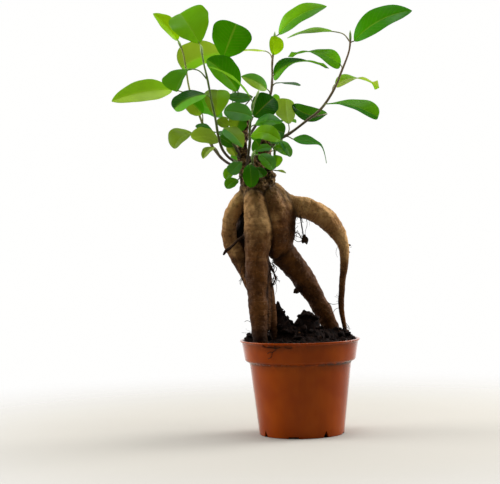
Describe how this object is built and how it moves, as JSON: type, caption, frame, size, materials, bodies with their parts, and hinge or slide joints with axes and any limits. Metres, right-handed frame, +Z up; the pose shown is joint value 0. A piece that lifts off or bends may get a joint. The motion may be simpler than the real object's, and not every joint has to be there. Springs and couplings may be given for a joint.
{
  "type": "ficus ginseng bonsai",
  "caption": "Small ficus bonsai on thick bulging aerial roots, with leafy upright shoots, in a round nursery pot filled with soil.",
  "frame": {"origin": "middle of the pot's flat underside", "axes": "+Z up along the pot's axis, -Y towards the front, the side the picture shows, +X to the right seen from the front"},
  "size_m": [0.2261, 0.0931, 0.3238],
  "materials": {
    "pot_plastic": "smooth moulded terracotta-coloured plastic, slightly glossy",
    "soil": "dark moist crumbly peat",
    "bark": "thin grey-brown bark with fine raised lenticels",
    "foliage": "leathery green leaves, glossy above and matt below, on slender stems"
  },
  "bodies": {
    "root": {"pot": "pot_plastic", "soil": "soil", "rootstock": "bark", "shoot_a": "foliage", "shoot_b": "foliage", "shoot_c": "foliage", "shoot_d": "foliage", "shoot_e": "foliage", "shoot_f": "foliage", "sprout_left": "foliage", "sprout_front": "foliage", "sprout_right": "foliage", "sprout_inner": "foliage", "sprout_back_left": "foliage", "sprout_back_right": "foliage"}
  },
  "joints": []
}
